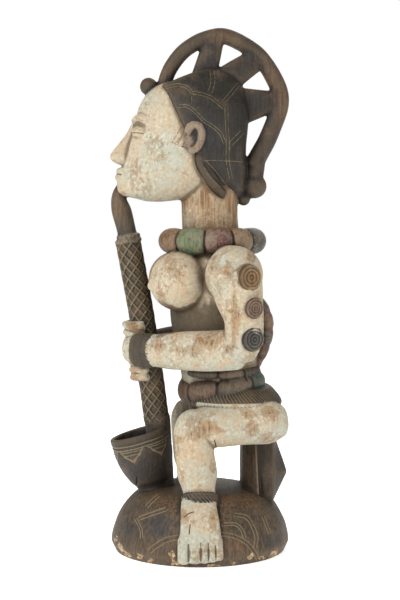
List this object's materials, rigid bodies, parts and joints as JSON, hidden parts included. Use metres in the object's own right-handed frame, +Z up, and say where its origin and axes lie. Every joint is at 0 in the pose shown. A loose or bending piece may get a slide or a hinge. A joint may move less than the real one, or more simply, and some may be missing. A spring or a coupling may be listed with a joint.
{
  "type": "seated female figure",
  "caption": "Carved wooden figure of a seated woman with a hooped crest, holding a long pipe in both fists, in one piece with its domed round base.",
  "frame": {"origin": "middle of the base's flat underside", "axes": "+Z up; the figure faces -Y, and +X is its left side"},
  "size_m": [0.2596, 0.2429, 0.7023],
  "materials": {
    "carved_wood": "matt, worn white clay over dark-stained carved wood"
  },
  "bodies": {
    "root": {"seated_female_figure": "carved_wood"}
  },
  "joints": []
}
